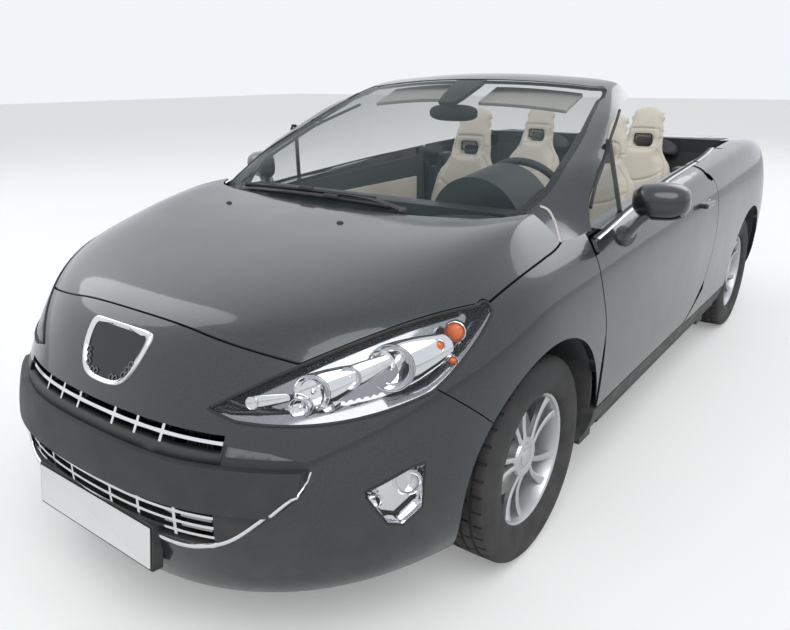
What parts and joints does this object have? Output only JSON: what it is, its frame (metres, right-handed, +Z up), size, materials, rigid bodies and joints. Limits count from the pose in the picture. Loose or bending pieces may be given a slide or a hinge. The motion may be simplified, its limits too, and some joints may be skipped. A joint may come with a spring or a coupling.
{
  "type": "convertible car",
  "caption": "Two-door four-seat convertible car with its roof folded away, opening doors, bonnet and boot lid, steering front wheels and rolling wheels.",
  "frame": {"origin": "on the ground under the middle of the car's bounding box", "axes": "+X towards the car's left side, +Y towards its tail, +Z up"},
  "size_m": [2.0932, 4.405, 1.4258],
  "materials": {
    "body_paint": "dark grey metallic paint under clear coat",
    "black_plastic": "grained matte black plastic",
    "chrome_trim": "bright chrome",
    "lamp_clear": "clear lamp cover over chromed reflectors",
    "lamp_red": "red lamp lens",
    "window_glass": "lightly tinted safety glass",
    "cream_leather": "cream leather",
    "tyre_rubber": "black rubber",
    "wheel_alloy": "silver painted alloy",
    "under_metal": "dark painted pressed steel",
    "cast_metal": "dark cast and forged metal",
    "exhaust_metal": "dull steel"
  },
  "bodies": {
    "body": {"front_frame": "under_metal", "floor_pan": "under_metal", "rear_floor": "under_metal", "front_bumper": "body_paint", "bumper_bar": "black_plastic", "grille_lower": "chrome_trim", "grille_upper": "chrome_trim", "badge_plate": "chrome_trim", "wing_l": "body_paint", "wing_r": "body_paint", "quarter_l": "body_paint", "quarter_r": "body_paint", "rear_bumper": "body_paint", "screen_frame": "body_paint", "windscreen": "window_glass", "cowl": "black_plastic", "rear_deck": "black_plastic", "dashboard": "black_plastic", "headlamp_l": "lamp_clear", "headlamp_r": "lamp_clear", "fog_lamp_l": "lamp_clear", "fog_lamp_r": "lamp_clear", "tail_lamp_l": "lamp_red", "tail_lamp_r": "lamp_red", "seat_front_l": "cream_leather", "seat_front_r": "cream_leather", "seat_rear": "cream_leather", "subframe": "cast_metal", "rear_axle": "cast_metal", "engine": "cast_metal", "exhaust": "exhaust_metal"},
    "bonnet": {"bonnet": "body_paint"},
    "boot_lid": {"boot_lid": "body_paint"},
    "door_l": {"door_l": "body_paint", "mirror_l": "body_paint", "quarterlight_l": "window_glass"},
    "door_r": {"door_r": "body_paint", "mirror_r": "body_paint", "quarterlight_r": "window_glass"},
    "knuckle_l": {"knuckle_l": "cast_metal"},
    "knuckle_r": {"knuckle_r": "cast_metal"},
    "wheel_fl": {"tyre_fl": "tyre_rubber", "rim_fl": "wheel_alloy"},
    "wheel_fr": {"tyre_fr": "tyre_rubber", "rim_fr": "wheel_alloy"},
    "wheel_rl": {"tyre_rl": "tyre_rubber", "rim_rl": "wheel_alloy"},
    "wheel_rr": {"tyre_rr": "tyre_rubber", "rim_rr": "wheel_alloy"},
    "steering_wheel": {"steering_wheel": "black_plastic"}
  },
  "joints": [
    {"name": "door_left", "type": "hinge", "parent": "body", "child": "door_l", "pos_m": [0.875, -0.775, 0.6], "axis": [0, 0, 1], "range_deg": [-65, 0]},
    {"name": "door_right", "type": "hinge", "parent": "body", "child": "door_r", "pos_m": [-0.875, -0.775, 0.6], "axis": [0, 0, 1], "range_deg": [0, 65]},
    {"name": "bonnet_hinge", "type": "hinge", "parent": "body", "child": "bonnet", "pos_m": [0, -0.962, 0.982], "axis": [1, 0, 0], "range_deg": [-50, 0]},
    {"name": "boot_hinge", "type": "hinge", "parent": "body", "child": "boot_lid", "pos_m": [0, 1.44, 1.028], "axis": [1, 0, 0], "range_deg": [0, 60]},
    {"name": "steer_left", "type": "hinge", "parent": "body", "child": "knuckle_l", "pos_m": [0.7, -1.265, 0.19], "axis": [-0.1913, 0, 0.9815], "range_deg": [-33, 33]},
    {"name": "steer_right", "type": "hinge", "parent": "body", "child": "knuckle_r", "pos_m": [-0.7, -1.265, 0.19], "axis": [0.1913, 0, 0.9815], "range_deg": [-33, 33]},
    {"name": "roll_front_left", "type": "hinge", "parent": "knuckle_l", "child": "wheel_fl", "pos_m": [0.766, -1.265, 0.3215], "axis": [1, 0, 0], "continuous": true},
    {"name": "roll_front_right", "type": "hinge", "parent": "knuckle_r", "child": "wheel_fr", "pos_m": [-0.766, -1.265, 0.3215], "axis": [1, 0, 0], "continuous": true},
    {"name": "roll_rear_left", "type": "hinge", "parent": "body", "child": "wheel_rl", "pos_m": [0.766, 1.34, 0.3215], "axis": [1, 0, 0], "continuous": true},
    {"name": "roll_rear_right", "type": "hinge", "parent": "body", "child": "wheel_rr", "pos_m": [-0.766, 1.34, 0.3215], "axis": [1, 0, 0], "continuous": true},
    {"name": "steering_column", "type": "hinge", "parent": "body", "child": "steering_wheel", "pos_m": [0.37, -0.42105, 0.92473], "axis": [0, 0.9404, 0.3401], "range_deg": [-495, 495]}
  ],
  "couplings": [
    {"joint": "steer_right", "follows": "steer_left", "ratio": 1},
    {"joint": "steering_column", "follows": "steer_left", "ratio": 15}
  ]
}
